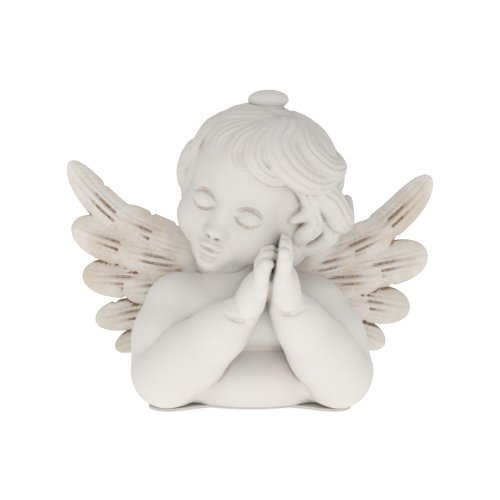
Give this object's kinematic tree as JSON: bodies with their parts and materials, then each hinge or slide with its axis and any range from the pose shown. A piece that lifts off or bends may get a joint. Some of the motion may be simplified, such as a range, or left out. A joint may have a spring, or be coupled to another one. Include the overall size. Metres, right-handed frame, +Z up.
{
  "type": "praying cherub figurine",
  "caption": "Praying cherub bust with spread feathered wings, leaning on both elbows, cast in off-white stone resin with a felt underside.",
  "frame": {"origin": "on the table, at the middle of the underside of the felt", "axes": "+X to the right of a viewer who faces the figure, +Y to its back, +Z up"},
  "size_m": [0.1491, 0.0681, 0.1242],
  "materials": {
    "resin": "matte, off-white",
    "antiqued_resin": "matte off-white with warm brown wiped into the grooves",
    "dowel_steel": "plain drawn",
    "felt": "napped"
  },
  "bodies": {
    "root": {"torso_casting": "resin", "head_casting": "resin", "crown_curl": "resin", "left_forearm_and_hand": "resin", "right_forearm_and_hand": "resin", "left_wing": "antiqued_resin", "right_wing": "antiqued_resin", "left_wing_dowels": "dowel_steel", "right_wing_dowels": "dowel_steel", "left_elbow_dowel": "dowel_steel", "right_elbow_dowel": "dowel_steel", "crown_dowel": "dowel_steel", "base_felt": "felt"}
  },
  "joints": []
}
